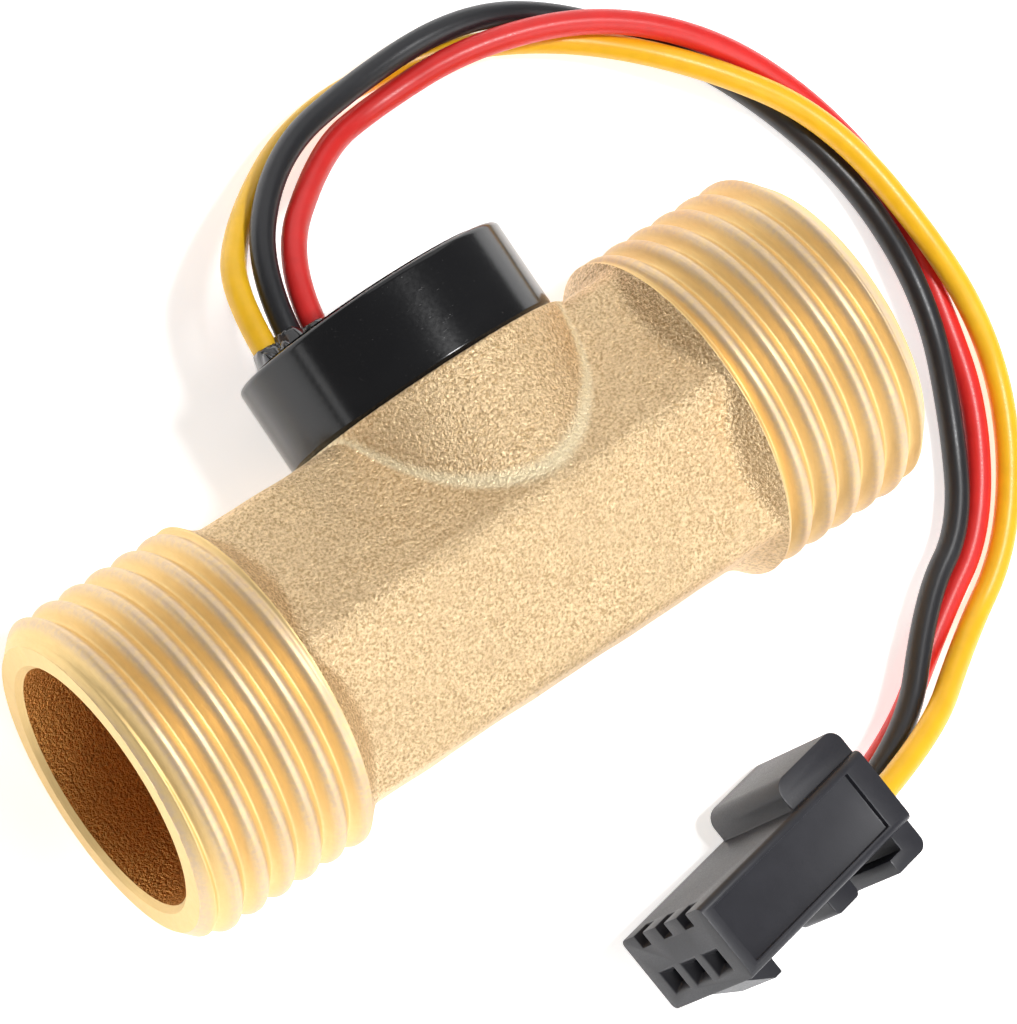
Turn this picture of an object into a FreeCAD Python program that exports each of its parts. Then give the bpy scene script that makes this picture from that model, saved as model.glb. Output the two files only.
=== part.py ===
"""Brass hall effect flow meter with two pipe threads, lying on a table with its wires and plug.

Lengths are in millimetres. The meter is built about its own pipe axis: X runs from the inlet
face to the outlet face and Z from the pipe axis to the round sensor case. It is then laid on
the floor, where it rests on its two threads and on the rim of the sensor case. The plug is
built about the centre of its front face, and the three wires run between the two.
"""
import FreeCAD, Part
import math
import os

V = FreeCAD.Vector
AXIS_X = V(1, 0, 0)
AXIS_Y = V(0, 1, 0)
AXIS_Z = V(0, 0, 1)
ORIGIN = V(0, 0, 0)

# Brass body
total_length = 52.6
thread_length = 11.2            # each end, up to the cone that runs down to the flats
thread_major = 20.955           # G 1/2 parallel pipe thread
end_chamfer = 1.15              # radial, on both thread ends
across_flats = 18.0
corner_round = 1.5
boss_margin = 0.35              # of the boss round the sensor case
boss_rise = 0.2                 # machined seat of the case, above the flat
boss_blend = 1.4

# Waterway through the body
bore_diameter = 15.5
bore_mouth_chamfer = 0.35
land_diameter = 13.4            # step that stops the outlet bearing carrier
land_to_outlet = 14.4           # from its start to the outlet face
land_length = 2.0
ring_groove_width = 1.1
ring_groove_depth = 0.5

# Turbine
rotor_to_outlet = 23.2          # from the rotor's middle, under the sensor case, to the outlet face
rotor_length = 8.0
rotor_hub_diameter = 8.4
rotor_tip_gap = 0.35
blade_count = 8
blade_thickness = 0.8
blade_twist = 40.0              # degrees over the hub's length
magnet_count = 4
magnet_diameter = 2.0
magnet_length = 2.0
shaft_diameter = 1.5
shaft_clearance = 0.03
shaft_end_gap = 0.3
rotor_end_play = 0.3            # at each end of the hub
washer_diameter = 3.4
washer_thickness = 0.4

# Flow guide and outlet bearing carrier, both a ring with vanes and a hub
carrier_fit = 0.05
carrier_wall = 1.0
carrier_hub_diameter = 5.0
guide_length = 10.45
vane_count = 6
vane_thickness = 0.8
hub_nose_length = 3.0
bush_diameter = 3.0
bush_length = 2.2

# Retaining ring in front of the flow guide
ring_thickness = 1.0
ring_width = 1.4
ring_gap_angle = 40.0

# Sensor case, a round cup on the boss
case_radius = 8.95
case_height = 5.9
case_wall = 1.1
case_floor = 0.9
case_bevel = 0.3
fill_below_rim = 0.25

# Case screws
screw_gap = 0.15                # between the head and the case's wall
screw_diameter = 1.7
screw_head_diameter = 3.0
screw_head_height = 1.2
screw_reach = 2.4
screw_hole_clearance = 0.15

# Circuit board and what it carries
chip_size = (4.1, 3.0, 1.4)
board_gap = 0.65                # between the board and the case's wall
board_thickness = 0.8
resistor_size = (2.0, 1.25, 0.55)
capacitor_size = (2.0, 1.25, 0.85)
part_spacing = 3.2

# Wires and the seal where they leave the case
wire_diameter = 1.55
wire_pitch = 1.6
wire_wall_gap = 0.275           # between the first wire and the case's wall
seal_height = 1.15
seal_margin = 0.75
seal_taper = 0.45

# Plug, from its front face to its rear
plug_length = 15.5
plug_width = 9.2
plug_thickness = 5.2
plug_pitch = 2.5
plug_ways = 3
socket_offset = -0.9            # towards the latch side
socket_hole = 0.9
socket_lead_in = 1.7
lead_in_depth = 0.6
cavity_size = 1.9
front_wall = 1.6
key_notch = (1.2, 0.9, 1.0)
side_recess = 0.35
side_rail = 0.6
side_recess_start = 0.9
rear_flange = 1.7
rear_flange_reach = 2.0
flange_hook = 1.1
grip_length = 5.9
grip_reach = 1.9
grip_width = 8.0
edge_round = 0.4
latch_width = 4.0
latch_length = 11.0
latch_slot = 0.5
latch_slot_depth = 0.6
wedge_length = 3.4
wedge_reach = 1.5
pad_length = 2.2
pad_reach = 1.6

# Crimp terminals in the plug
terminal_size = 1.5
terminal_sheet = 0.2
terminal_length = 6.0
barrel_wall = 0.15
barrel_length = 2.4
wire_end_depth = 5.5            # of the wire inside the plug, from its rear
wire_lead = 5.1                 # to the corner of the wire's first bend, from the plug's rear
wire_rise = 4.1                 # the same, from the rim of the sensor case

# Where the plug lies: centre of its front face, heading and nose-up angle
plug_place = (-0.9, -29.64)
plug_heading = 7.6
plug_nose_up = 12.0

# Sizes that follow from the ones above
thread_radius = thread_major / 2
flat_height = across_flats / 2
seat_height = flat_height + boss_rise
boss_radius = case_radius + boss_margin
bore_radius = bore_diameter / 2
case_top = seat_height + case_height
fill_top = case_top - fill_below_rim
floor_top = seat_height + case_floor
board_top = floor_top + chip_size[2] + board_thickness
rotor_centre = total_length - rotor_to_outlet
rotor_start = rotor_centre - rotor_length / 2
guide_end = rotor_start - rotor_end_play
guide_start = guide_end - guide_length
ring_groove_start = guide_start - (ring_groove_width + ring_thickness) / 2
land_start = total_length - land_to_outlet
washer_start = rotor_start + rotor_length + rotor_end_play
outlet_carrier_start = washer_start + washer_thickness
outlet_carrier_length = land_start - outlet_carrier_start
cavity_radius = case_radius - case_wall
board_radius = cavity_radius - board_gap
screw_offset = cavity_radius - screw_gap - screw_head_diameter / 2
first_wire = rotor_centre - cavity_radius + wire_wall_gap + wire_diameter / 2
wire_row = [first_wire + step * wire_pitch for step in range(3)]
rim_radius = case_radius
rim_height = case_top - case_bevel
rest_angle = math.degrees(
    math.atan2(rim_height, rim_radius) - math.acos(thread_radius / math.hypot(rim_height, rim_radius)))

# Corners of each wire's route between the seal and the plug, in the part's own frame
wire_routes = {
    "wire_yellow": [
        (0.2, 20.3, 4.7), (8.6, 24.1, 0.8), (17.7, 23.5, 0.8), (25.8, 20.0, 1.2), (32.2, 14.0, 2.9),
        (37.9, 6.9, 2.3), (39.3, -3.8, 2.8), (39.7, -10.3, 0.8), (37.3, -16.0, 0.8),
        (33.2, -21.1, 0.8), (28.2, -23.9, 0.8)],
    "wire_black": [
        (4.5, 22.7, 4.6), (12.9, 24.0, 2.5), (19.9, 24.1, 2.4), (25.9, 21.9, 0.8), (31.7, 16.2, 0.8),
        (35.4, 10.0, 0.8), (37.8, 2.6, 0.8), (37.0, -5.4, 2.3), (34.8, -12.5, 1.0),
        (31.3, -18.2, 1.6), (26.8, -20.5, 1.8)],
    "wire_red": [
        (8.0, 21.5, 2.7), (13.0, 22.2, 1.4), (19.7, 22.3, 2.9), (27.5, 20.0, 3.1), (33.6, 15.2, 2.7),
        (38.0, 8.7, 0.8), (39.6, 1.2, 0.8), (38.3, -6.2, 0.8), (36.8, -12.7, 0.8),
        (32.6, -19.2, 0.8), (27.4, -22.1, 0.8)],
}


def cylinder_x(radius, start, length):
    return Part.makeCylinder(radius, length, V(start, 0, 0), AXIS_X)


def cylinder_z(radius, x, y, bottom, height):
    return Part.makeCylinder(radius, height, V(x, y, bottom), AXIS_Z)


def box(low, high):
    return Part.makeBox(high[0] - low[0], high[1] - low[1], high[2] - low[2], V(*low))


def revolve_x(points):
    """Turn an outline of (x, radius) points about the pipe axis."""
    loop = [V(x, 0, r) for x, r in points]
    return Part.Face(Part.makePolygon(loop + loop[:1])).revolve(ORIGIN, AXIS_X, 360)


def turned(shape, angle, axis=AXIS_X, centre=ORIGIN):
    copy = shape.copy()
    copy.rotate(centre, axis, angle)
    return copy


def ring_of(shape, count):
    """Copies of a shape, evenly spaced about the pipe axis."""
    return [turned(shape, step * 360 / count) for step in range(count)]


def tube_x(outer, inner, start, length):
    return cylinder_x(outer, start, length).cut(cylinder_x(inner, start, length))


# Brass body

def threaded_ends():
    """The two threaded spigots, with the cones that run down to the flats."""
    cone = thread_radius - flat_height + 0.4
    low = thread_radius - cone
    spigot = revolve_x([
        (0, 0), (0, thread_radius - end_chamfer), (end_chamfer, thread_radius),
        (thread_length, thread_radius), (thread_length + cone, low), (thread_length + cone, 0)])
    other = turned(spigot, 180, AXIS_Z, V(total_length / 2, 0, 0))
    return [spigot, other]


def hexagon():
    """Six-sided bar with rounded corners, a flat under the case and its ends inside the threads."""
    corner = across_flats / math.sqrt(3)
    points = []
    for step in range(7):
        angle = math.radians(60 * step)
        points.append(V(end_chamfer, corner * math.cos(angle), corner * math.sin(angle)))
    prism = Part.Face(Part.makePolygon(points)).extrude(V(total_length - 2 * end_chamfer, 0, 0))
    ridges = [edge for edge in prism.Edges if edge.tangentAt(0).isParallel(AXIS_X, 0.01)]
    return prism.makeFillet(corner_round, ridges)


def boss():
    return cylinder_z(boss_radius, rotor_centre, 0, 0, seat_height)


def boss_foot(shape):
    """The edges where the boss runs into the upper flats."""
    found = []
    for edge in shape.Edges:
        middle = edge.valueAt((edge.FirstParameter + edge.LastParameter) / 2)
        reach = math.hypot(middle.x - rotor_centre, middle.y)
        on_boss = abs(reach - boss_radius) < 0.01
        if on_boss and 0.5 < middle.z < flat_height - 0.5:
            found.append(edge)
    return found


def waterway():
    """Everything bored out of the body, from the inlet to the outlet."""
    land_end = land_start + land_length
    groove_end = ring_groove_start + ring_groove_width
    groove_radius = bore_radius + ring_groove_depth
    mouth = bore_radius + bore_mouth_chamfer
    land_radius = land_diameter / 2
    return revolve_x([
        (0, 0), (0, mouth), (bore_mouth_chamfer, bore_radius),
        (ring_groove_start, bore_radius), (ring_groove_start, groove_radius),
        (groove_end, groove_radius), (groove_end, bore_radius),
        (land_start, bore_radius), (land_start, land_radius),
        (land_end, land_radius), (land_end, bore_radius),
        (total_length - bore_mouth_chamfer, bore_radius), (total_length, mouth), (total_length, 0)])


def screw_places():
    return [-screw_offset, screw_offset]


def brass_body():
    blank = hexagon().fuse(boss()).removeSplitter()
    blank = blank.makeFillet(boss_blend, boss_foot(blank))
    body = blank.fuse(threaded_ends()).cut(waterway())
    holes = [cylinder_z(screw_diameter / 2, rotor_centre, y, seat_height - screw_reach, screw_reach)
             for y in screw_places()]
    return body.cut(holes)


# Turbine, its bearings and what holds them

def vaned_ring(start, length):
    """Ring that fits the bore, with radial vanes that carry a hub."""
    outer = bore_radius - carrier_fit
    inner = outer - carrier_wall
    hub = cylinder_x(carrier_hub_diameter / 2, start, length)
    vane = box((start, -vane_thickness / 2, carrier_hub_diameter / 2 - 0.4),
               (start + length, vane_thickness / 2, inner + 0.3))
    return tube_x(outer, inner, start, length).fuse([hub] + ring_of(vane, vane_count)).removeSplitter()


def bush_seat(start):
    return cylinder_x(bush_diameter / 2, start, bush_length)


def shaft_well(start):
    """Clearance bored behind each bush for the end of the shaft."""
    return cylinder_x(shaft_diameter / 2 + shaft_clearance, start, shaft_end_gap)


def inlet_guide():
    hub_radius = carrier_hub_diameter / 2
    nose = Part.makeSphere(hub_radius, V(guide_start, 0, 0), AXIS_X, -90, 90, 360)
    stretch = FreeCAD.Matrix()
    stretch.scale(V(hub_nose_length / hub_radius, 1, 1))
    nose.translate(V(-guide_start, 0, 0))
    nose = nose.transformGeometry(stretch)
    nose.translate(V(guide_start, 0, 0))
    guide = vaned_ring(guide_start, guide_length).fuse(nose)
    seat = guide_end - bush_length
    return guide.cut([bush_seat(seat), shaft_well(seat - shaft_end_gap)])


def outlet_carrier():
    carrier = vaned_ring(outlet_carrier_start, outlet_carrier_length)
    end = outlet_carrier_start + bush_length
    return carrier.cut([bush_seat(outlet_carrier_start), shaft_well(end)])


def bush(start):
    return tube_x(bush_diameter / 2, shaft_diameter / 2 + shaft_clearance, start, bush_length)


def retaining_ring():
    """Open spring ring that snaps into the groove in front of the flow guide."""
    outer = bore_radius + ring_groove_depth - carrier_fit
    ring = tube_x(outer, outer - ring_width, guide_start - ring_thickness, ring_thickness)
    half = outer * math.tan(math.radians(ring_gap_angle / 2))
    gap = Part.makePolygon([V(0, 0, 0), V(0, -half, -outer), V(0, half, -outer), V(0, 0, 0)])
    wedge = Part.Face(gap).extrude(V(ring_thickness * 3, 0, 0))
    wedge.translate(V(guide_start - ring_thickness * 2, 0, 0))
    return ring.cut(wedge)


def blade_section(x, angle):
    """One rectangle across a blade, at a place along the hub."""
    root = rotor_hub_diameter / 2 - 0.5
    tip = bore_radius
    half = blade_thickness / 2
    loop = [V(x, -half, root), V(x, half, root), V(x, half, tip), V(x, -half, tip)]
    wire = Part.makePolygon(loop + loop[:1])
    wire.rotate(ORIGIN, AXIS_X, angle)
    return wire


def blade():
    steps = 4
    sections = [blade_section(rotor_start + rotor_length * k / steps, blade_twist * (k / steps - 0.5))
                for k in range(steps + 1)]
    return Part.makeLoft(sections, True, False)


def magnet():
    """A magnet let into the hub, at the top of the rotor."""
    outer = rotor_hub_diameter / 2
    return cylinder_z(magnet_diameter / 2, rotor_centre, 0, outer - magnet_length, magnet_length).common(
        cylinder_x(outer, rotor_start, rotor_length))


def magnets():
    """Magnets midway between blades, so the first is turned by half a blade's space."""
    return ring_of(turned(magnet(), 180 / blade_count), magnet_count)


def impeller():
    hub = cylinder_x(rotor_hub_diameter / 2, rotor_start, rotor_length)
    sweep = cylinder_x(bore_radius - rotor_tip_gap, rotor_start, rotor_length)
    wheel = hub.fuse(ring_of(blade(), blade_count)).common(sweep)
    bored = [cylinder_x(shaft_diameter / 2, rotor_start, rotor_length)]
    return wheel.cut(bored + magnets())


def rotor_shaft():
    start = guide_end - bush_length
    end = outlet_carrier_start + bush_length
    return cylinder_x(shaft_diameter / 2, start, end - start)


def thrust_washer():
    """Washer on the shaft, against the outlet bush."""
    return tube_x(washer_diameter / 2, shaft_diameter / 2 + shaft_clearance, washer_start, washer_thickness)


# Sensor case and what is in it

def case_screw(y):
    shank = cylinder_z(screw_diameter / 2, rotor_centre, y, seat_height - screw_reach,
                       screw_reach + case_floor)
    head = cylinder_z(screw_head_diameter / 2, rotor_centre, y, floor_top, screw_head_height)
    return shank.fuse(head).removeSplitter()


def sensor_case():
    shell = cylinder_z(case_radius, rotor_centre, 0, seat_height, case_height)
    rims = [edge for edge in shell.Edges if abs(edge.Length - 2 * math.pi * case_radius) < 0.01]
    shell = shell.makeChamfer(case_bevel, rims)
    cavity = cylinder_z(cavity_radius, rotor_centre, 0, floor_top, case_height)
    holes = [cylinder_z(screw_diameter / 2 + screw_hole_clearance, rotor_centre, y, seat_height, case_floor)
             for y in screw_places()]
    return shell.cut([cavity] + holes)


def centred_box(size, x, y, bottom):
    return box((x - size[0] / 2, y - size[1] / 2, bottom),
               (x + size[0] / 2, y + size[1] / 2, bottom + size[2]))


def hall_chip():
    return centred_box(chip_size, rotor_centre, 0, floor_top)


def sensor_board():
    return cylinder_z(board_radius, rotor_centre, 0, board_top - board_thickness, board_thickness)


def board_resistor():
    return centred_box(resistor_size, rotor_centre + part_spacing, part_spacing / 2, board_top)


def board_capacitor():
    return centred_box(capacitor_size, rotor_centre + part_spacing, -part_spacing / 2, board_top)


def wire_holes(bottom, height):
    return [cylinder_z(wire_diameter / 2, x, 0, bottom, height) for x in wire_row]


def potting():
    """Resin that fills the case round the board, up to just below the rim."""
    fill = cylinder_z(cavity_radius, rotor_centre, 0, floor_top, fill_top - floor_top)
    inside = [hall_chip(), sensor_board(), board_resistor(), board_capacitor()]
    inside += [case_screw(y) for y in screw_places()]
    return fill.cut(inside + wire_holes(board_top, case_height))


def stadium(half_length, radius, height):
    """Closed outline with two straight sides and two round ends, about the middle wire."""
    x = wire_row[1]
    ends = [V(x + half_length, -radius, height), V(x + half_length, radius, height),
            V(x - half_length, radius, height), V(x - half_length, -radius, height)]
    right = Part.Arc(ends[0], V(x + half_length + radius, 0, height), ends[1]).toShape()
    left = Part.Arc(ends[2], V(x - half_length - radius, 0, height), ends[3]).toShape()
    top = Part.LineSegment(ends[1], ends[2]).toShape()
    bottom = Part.LineSegment(ends[3], ends[0]).toShape()
    return Part.Wire([right, top, left, bottom])


def cable_seal():
    """Mound of sealant round the three wires where they leave the case."""
    foot_radius = wire_diameter / 2 + seal_margin
    top_radius = foot_radius - seal_taper
    foot = stadium(wire_pitch, foot_radius, fill_top)
    top = stadium(wire_pitch, top_radius, case_top + seal_height - fill_below_rim)
    inside = cylinder_z(cavity_radius, rotor_centre, 0, fill_top, fill_below_rim)
    above = cylinder_z(case_radius, rotor_centre, 0, case_top, case_height)
    mound = Part.makeLoft([foot, top], True, True).common(inside.fuse(above))
    return mound.cut(wire_holes(fill_top, case_height))


# Plug: X from its front face to its rear, Z along the row of sockets, the latch on the -Y side

def socket_rows():
    middle = (plug_ways - 1) / 2
    return [(way - middle) * plug_pitch for way in range(plug_ways)]


def square(x, size, y, z):
    half = size / 2
    loop = [V(x, y - half, z - half), V(x, y + half, z - half),
            V(x, y + half, z + half), V(x, y - half, z + half)]
    return Part.makePolygon(loop + loop[:1])


def socket(z):
    """Square hole with a funnel in front and the terminal's cavity behind."""
    funnel = Part.makeLoft([square(0, socket_lead_in, socket_offset, z),
                            square(lead_in_depth, socket_hole, socket_offset, z)], True, True)
    hole = Part.Face(square(0, socket_hole, socket_offset, z)).extrude(V(front_wall, 0, 0))
    cavity = Part.Face(square(front_wall, cavity_size, socket_offset, z)).extrude(V(plug_length, 0, 0))
    return [funnel, hole, cavity]


def key_notches():
    """Small square notches in the front face, on the side away from the latch."""
    deep, high, wide = key_notch
    top = plug_thickness / 2
    return [box((0, top - high, z - wide / 2), (deep, top, z + wide / 2)) for z in socket_rows()]


def side_panels():
    """Shallow recesses in the two narrow sides, between rails."""
    end = plug_length - rear_flange
    inner = plug_thickness / 2 - side_rail
    top = plug_width / 2
    return [box((side_recess_start, -inner, top - side_recess), (end, inner, top)),
            box((side_recess_start, -inner, -top), (end, inner, -top + side_recess))]


def finger_grip():
    """Raised pad at the rear, on the side away from the latch."""
    pad = box((plug_length - grip_length, plug_thickness / 2 - 0.5, -grip_width / 2),
              (plug_length, plug_thickness / 2 + grip_reach, grip_width / 2))
    corners = [edge for edge in pad.Edges
               if abs(edge.Length - grip_width) < 0.01 and edge.CenterOfMass.y > plug_thickness / 2]
    return pad.makeFillet(grip_reach / 2, corners)


def flange():
    """Upright at the rear with a forward hook, on the latch side."""
    side = -plug_thickness / 2
    far = side - rear_flange_reach
    start = plug_length - rear_flange
    hook = start - flange_hook
    outline = [V(start, side + 0.5, 0), V(start, far + 1.0, 0), V(hook, far + 1.0, 0), V(hook, far, 0),
               V(plug_length, far, 0), V(plug_length, side + 0.5, 0)]
    face = Part.Face(Part.makePolygon(outline + outline[:1]))
    solid = face.extrude(V(0, 0, grip_width))
    solid.translate(V(0, 0, -grip_width / 2))
    corner = [edge for edge in solid.Edges
              if abs(edge.CenterOfMass.x - plug_length) < 0.01 and abs(edge.CenterOfMass.y - far) < 0.01
              and edge.Length > rear_flange_reach * 2]
    return solid.makeFillet(0.7, corner)


def latch_slots():
    """U-shaped slot that frees the spring arm on the latch side."""
    side = -plug_thickness / 2
    half = latch_width / 2
    low = side - 0.1
    high = side + latch_slot_depth
    end = latch_length + latch_slot
    return [box((wedge_length, low, half), (end, high, half + latch_slot)),
            box((wedge_length, low, -half - latch_slot), (end, high, -half)),
            box((latch_length, low, -half), (end, high, half))]


def latch_parts():
    """The locking wedge at the front of the arm and the finger pad at its end."""
    side = -plug_thickness / 2
    half = latch_width / 2
    wedge = Part.Face(Part.makePolygon([
        V(0.5, side + 0.3, -half), V(0.5, side, -half), V(wedge_length - 0.6, side - wedge_reach, -half),
        V(wedge_length, side - wedge_reach, -half), V(wedge_length, side + 0.3, -half),
        V(0.5, side + 0.3, -half)])).extrude(V(0, 0, latch_width))
    pad = box((latch_length - pad_length, side - pad_reach, -half), (latch_length, side + 0.3, half))
    ends = [edge for edge in pad.Edges
            if abs(edge.Length - latch_width) < 0.01 and edge.CenterOfMass.y < side]
    return [wedge, pad.makeFillet(edge_round, ends)]


def plug_housing():
    block = box((0, -plug_thickness / 2, -plug_width / 2), (plug_length, plug_thickness / 2, plug_width / 2))
    long_edges = [edge for edge in block.Edges if abs(edge.Length - plug_length) < 0.01]
    block = block.makeFillet(edge_round, long_edges)
    cuts = key_notches() + side_panels() + latch_slots()
    block = block.cut(cuts).fuse([finger_grip(), flange()] + latch_parts())
    for z in socket_rows():
        block = block.cut(socket(z))
    return block.removeSplitter()


def terminal(z):
    """Pressed socket with a square box, a neck and a barrel crimped on the wire."""
    half = terminal_size / 2
    inner = half - terminal_sheet
    start = front_wall
    end = start + terminal_length
    barrel_start = plug_length - wire_end_depth - 0.4
    y = socket_offset
    outer_box = box((start, y - half, z - half), (end, y + half, z + half))
    hollow = box((start, y - inner, z - inner), (end, y + inner, z + inner))
    neck = box((end - terminal_sheet, y - half, z - inner),
               (barrel_start + barrel_length, y - inner, z + inner))
    radius = wire_diameter / 2
    barrel = Part.makeCylinder(radius + barrel_wall, barrel_length, V(barrel_start, y, z), AXIS_X)
    wire_room = Part.makeCylinder(radius, barrel_length, V(barrel_start, y, z), AXIS_X)
    return outer_box.cut(hollow).fuse([neck, barrel]).cut(wire_room)


# Wires

def unit(vector):
    return vector * (1 / vector.Length)


def corner_arc(before, corner, after):
    """Largest tangent arc that the two runs leave room for, and its radius."""
    to_before = before - corner
    to_after = after - corner
    reach = 0.45 * min(to_before.Length, to_after.Length)
    a = unit(to_before)
    b = unit(to_after)
    half_turn = (math.pi - a.getAngle(b)) / 2
    radius = reach / math.tan(half_turn)
    start = corner + a * reach
    end = corner + b * reach
    centre = corner + unit(a + b) * math.hypot(radius, reach)
    middle = centre + unit(corner - centre) * radius
    return start, middle, end, radius


def tube_path(points):
    edges = []
    radii = []
    at = points[0]
    for before, corner, after in zip(points, points[1:], points[2:]):
        start, middle, end, radius = corner_arc(before, corner, after)
        edges.append(Part.LineSegment(at, start).toShape())
        edges.append(Part.Arc(start, middle, end).toShape())
        radii.append(radius)
        at = end
    edges.append(Part.LineSegment(at, points[-1]).toShape())
    return Part.Wire(edges), radii


def wire_points(name, row, way):
    """From the board straight out of the seal, along the route, then straight into the plug."""
    out = [laid_down(V(wire_row[row], 0, height)) for height in (board_top, case_top + wire_rise)]
    along = (plug_length + wire_lead, plug_length - wire_end_depth)
    into = [plug_to_frame(V(x, socket_offset, socket_rows()[way])) for x in along]
    return out + [V(*point) for point in wire_routes[name]] + into


def wire(name, row, way):
    points = wire_points(name, row, way)
    path, radii = tube_path(points)
    ring = Part.Wire(Part.makeCircle(wire_diameter / 2, points[0], points[1] - points[0]))
    tube = path.makePipeShell([ring], True, True)
    section = math.pi * wire_diameter ** 2 / 4
    print(name, "length", round(path.Length, 1),
          "volume ratio", round(tube.Volume / (section * path.Length), 4),
          "radii", [round(r, 1) for r in radii])
    return tube


# Placing: the meter rests on its threads and case rim, the plug on its heel

def floor_frame():
    """Turns the meter's own axes into the part's, with the floor at Z = 0."""
    place = FreeCAD.Placement(V(0, 0, 0), FreeCAD.Rotation(AXIS_X, -90 - rest_angle))
    angle = math.radians(rest_angle)
    far = case_top * math.cos(angle) + (rim_radius - case_bevel) * math.sin(angle)
    side = rim_height * math.cos(angle) + rim_radius * math.sin(angle)
    middle = (max(far, side) - thread_radius) / 2
    place.Base = V(-total_length / 2, -middle, thread_radius)
    return place


def laid_down(thing):
    place = floor_frame()
    if isinstance(thing, FreeCAD.Vector):
        return place.multVec(thing)
    copy = thing.copy()
    copy.Placement = place.multiply(copy.Placement)
    return copy


def plug_frame():
    nose = FreeCAD.Rotation(AXIS_Y, plug_nose_up)
    heading = FreeCAD.Rotation(AXIS_Z, plug_heading)
    angle = math.radians(plug_nose_up)
    height = plug_length * math.sin(angle) + plug_width / 2 * math.cos(angle)
    return FreeCAD.Placement(V(plug_place[0], plug_place[1], height), heading.multiply(nose))


def plug_to_frame(thing):
    place = plug_frame()
    if isinstance(thing, FreeCAD.Vector):
        return place.multVec(thing)
    copy = thing.copy()
    copy.Placement = place.multiply(copy.Placement)
    return copy


def meter_nodes():
    nodes = {
        "brass_body": brass_body(),
        "retaining_ring": retaining_ring(),
        "inlet_guide": inlet_guide(),
        "inlet_bush": bush(guide_end - bush_length),
        "impeller": impeller(),
        "rotor_shaft": rotor_shaft(),
        "thrust_washer": thrust_washer(),
        "outlet_bush": bush(outlet_carrier_start),
        "outlet_carrier": outlet_carrier(),
        "sensor_case": sensor_case(),
        "case_screw_upper": case_screw(-screw_offset),
        "case_screw_lower": case_screw(screw_offset),
        "hall_chip": hall_chip(),
        "sensor_board": sensor_board(),
        "board_resistor": board_resistor(),
        "board_capacitor": board_capacitor(),
        "potting": potting(),
        "cable_seal": cable_seal(),
    }
    for number, shape in enumerate(magnets(), 1):
        nodes["rotor_magnet_%d" % number] = shape
    return nodes


def plug_nodes():
    nodes = {"plug_housing": plug_housing()}
    for number, z in enumerate(socket_rows(), 1):
        nodes["plug_terminal_%d" % number] = terminal(z)
    return nodes


def wire_nodes():
    """Each wire's place in the row on the board and in the row of the plug."""
    places = {"wire_yellow": (0, 2), "wire_black": (1, 1), "wire_red": (2, 0)}
    return {name: wire(name, row, way) for name, (row, way) in places.items()}


def main():
    os.makedirs("parts", exist_ok=True)
    nodes = {name: laid_down(shape) for name, shape in meter_nodes().items()}
    nodes.update({name: plug_to_frame(shape) for name, shape in plug_nodes().items()})
    nodes.update(wire_nodes())
    for name, shape in nodes.items():
        print(name, "valid", shape.isValid(), "solids", len(shape.Solids), "volume", round(shape.Volume, 2))
        shape.exportStep("parts/%s.step" % name)


main()
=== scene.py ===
"""Looks of a brass flow meter with two pipe threads, a resin-filled sensor case, wires and a plug.

Shapes are worked out in millimetres about the pipe's own axis: X from the inlet face to the
outlet face, Z from the pipe to the round sensor case. They are then laid on the floor as the
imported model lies, in metres.
"""
import math
import bmesh
import bpy
import numpy as np
from mathutils import Matrix, Vector


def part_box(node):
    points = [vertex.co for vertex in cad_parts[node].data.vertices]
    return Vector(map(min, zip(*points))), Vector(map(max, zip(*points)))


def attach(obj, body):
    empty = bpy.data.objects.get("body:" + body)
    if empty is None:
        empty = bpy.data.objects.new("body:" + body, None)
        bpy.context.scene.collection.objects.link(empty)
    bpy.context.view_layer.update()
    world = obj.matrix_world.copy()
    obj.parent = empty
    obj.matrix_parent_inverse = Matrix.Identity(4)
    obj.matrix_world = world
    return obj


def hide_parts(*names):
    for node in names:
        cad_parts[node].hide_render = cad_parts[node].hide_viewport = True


bl_info = {
    "name": "Hall effect flow meter",
    "version": (1, 0, 0),
    "blender": (4, 5, 0),
    "location": "View3D > Sidebar > Flow meter",
    "description": "Dresses the flow meter: pipe threads, casting, sensor case, resin, wires and plug",
    "category": "Add Mesh",
}

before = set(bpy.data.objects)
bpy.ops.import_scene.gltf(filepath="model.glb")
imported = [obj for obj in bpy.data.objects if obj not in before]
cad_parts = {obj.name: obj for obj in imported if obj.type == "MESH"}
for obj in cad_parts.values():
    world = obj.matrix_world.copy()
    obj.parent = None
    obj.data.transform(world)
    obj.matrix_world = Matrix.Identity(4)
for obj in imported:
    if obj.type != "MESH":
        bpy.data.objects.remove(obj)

MM = 0.001
TURN = 2 * math.pi

# The meter's own axes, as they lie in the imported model
BODY_LOW, BODY_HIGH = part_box("brass_body")
BUSH_LOW, BUSH_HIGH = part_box("inlet_bush")
PIPE_AXIS = (BUSH_LOW + BUSH_HIGH) / 2
DIP = math.radians(6.1228)
METER = (Matrix.Translation((BODY_LOW.x, PIPE_AXIS.y, PIPE_AXIS.z))
         @ Matrix.Rotation(-math.pi / 2 - DIP, 4, "X") @ Matrix.Scale(MM, 4))

# Sizes of the modelled pieces that the looks follow
LENGTH = (BODY_HIGH.x - BODY_LOW.x) / MM
THREAD_RADIUS = 10.4775
THREAD_LENGTH = 11.2
BORE_RADIUS = 7.75
CASE_X = 29.4
CASE_RADIUS = 8.95
SEAT = 9.2
CASE_TOP = 15.1
RESIN_TOP = 14.85
WIRE_ROW = (22.6, 24.2, 25.8)
WIRE_DIAMETER = 1.55

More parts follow.
